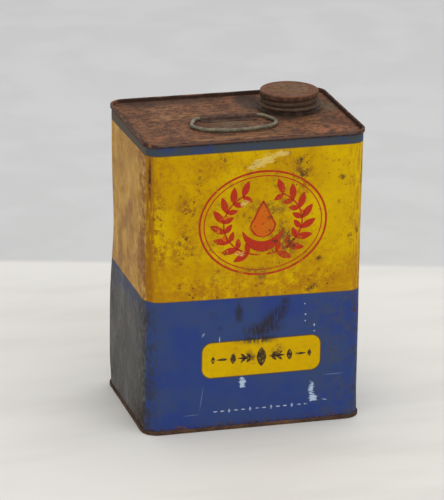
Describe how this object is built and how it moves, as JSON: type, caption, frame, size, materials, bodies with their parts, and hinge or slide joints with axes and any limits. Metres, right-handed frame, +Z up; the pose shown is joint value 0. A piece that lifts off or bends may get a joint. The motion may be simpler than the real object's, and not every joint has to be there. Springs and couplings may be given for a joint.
{
  "type": "oil tin",
  "caption": "Rectangular tinplate oil tin with double-seamed ends, a screw cap on a rolled-thread neck and a folding wire bail.",
  "frame": {"origin": "middle of the base, on the plane that the lower seam stands on", "axes": "+X to the tin's right as its front is faced, +Y towards its back, +Z up"},
  "size_m": [0.175, 0.125, 0.2467],
  "materials": {
    "painted_tinplate": "printed in yellow and blue, worn and rust-freckled",
    "lid_tinplate": "bare tinplate under an even coat of old rust",
    "base_tinplate": "bare tinplate under dark rust",
    "neck_tinplate": "dull tinplate, rusted at its foot",
    "cap_tinplate": "bare tinplate under rust",
    "clip_tinplate": "dark rusted tinplate",
    "bail_wire": "tarnished galvanised wire",
    "solder": "dull tin-lead solder",
    "sealing_compound": "old rubbery sealing compound",
    "pulpboard": "oil-stained pulpboard disc"
  },
  "bodies": {
    "tin": {"body_shell": "painted_tinplate", "side_seam_solder": "solder", "top_end": "lid_tinplate", "bottom_end": "base_tinplate", "top_seam_compound": "sealing_compound", "bottom_seam_compound": "sealing_compound", "neck": "neck_tinplate", "neck_solder": "solder", "bail_clip": "clip_tinplate"},
    "bail": {"bail": "bail_wire"},
    "cap_liner": {"cap_liner": "pulpboard"},
    "cap": {"cap": "cap_tinplate"}
  },
  "joints": [
    {"name": "bail_swing", "type": "hinge", "parent": "tin", "child": "bail", "pos_m": [-0.0064, 0, 0.2327], "axis": [-1, 0, 0], "range_deg": [0, 108]},
    {"name": "cap_lift", "type": "slide", "parent": "tin", "child": "cap_liner", "axis": [0, 0, 1], "range_m": [0, 0.0424]},
    {"name": "cap_turn", "type": "hinge", "parent": "cap_liner", "child": "cap", "pos_m": [0.0473, 0.0175, 0.2467], "axis": [0, 0, 1], "range_deg": [0, 3600]}
  ],
  "couplings": [
    {"joint": "cap_lift", "follows": "cap_turn", "m_per_rad": 0.00067375}
  ]
}
